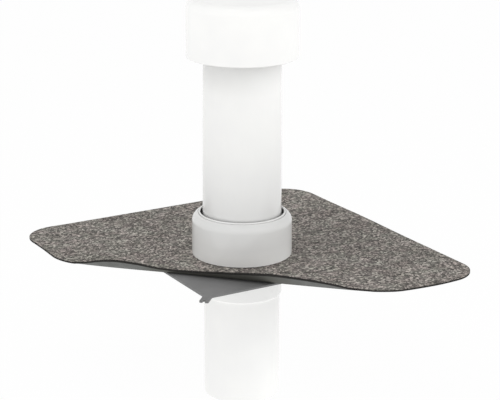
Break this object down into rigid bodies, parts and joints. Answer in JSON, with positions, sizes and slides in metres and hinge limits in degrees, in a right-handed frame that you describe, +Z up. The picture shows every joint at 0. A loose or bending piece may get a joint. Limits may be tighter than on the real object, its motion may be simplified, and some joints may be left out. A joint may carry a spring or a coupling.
{
  "type": "roof vent pipe",
  "caption": "White plastic roof vent pipe with a rain cap and a socket collar, standing through a square slate-grey bitumen flashing sheet with a cut corner over a grey base plate.",
  "frame": {"origin": "centre of the lower pipe's open end, which is also the middle of the bottom of the bounding box", "axes": "+Z up along the pipe's axis; the sheet's sides run along X and Y, and its cut corner points towards -X -Y"},
  "size_m": [0.49, 0.49, 0.588],
  "materials": {
    "white_plastic": "moulded white plastic, satin",
    "black_rubber": "matt black seal rubber",
    "bitumen": "bitumen sheet with grey slate granules on top",
    "grey_plastic": "smooth mid-grey plastic, matt"
  },
  "bodies": {
    "root": {"lower_pipe": "white_plastic", "collar": "white_plastic", "vent_pipe": "white_plastic", "rain_cap": "white_plastic", "lip_seal": "black_rubber", "bitumen_sheet": "bitumen", "base_plate": "grey_plastic"}
  },
  "joints": []
}
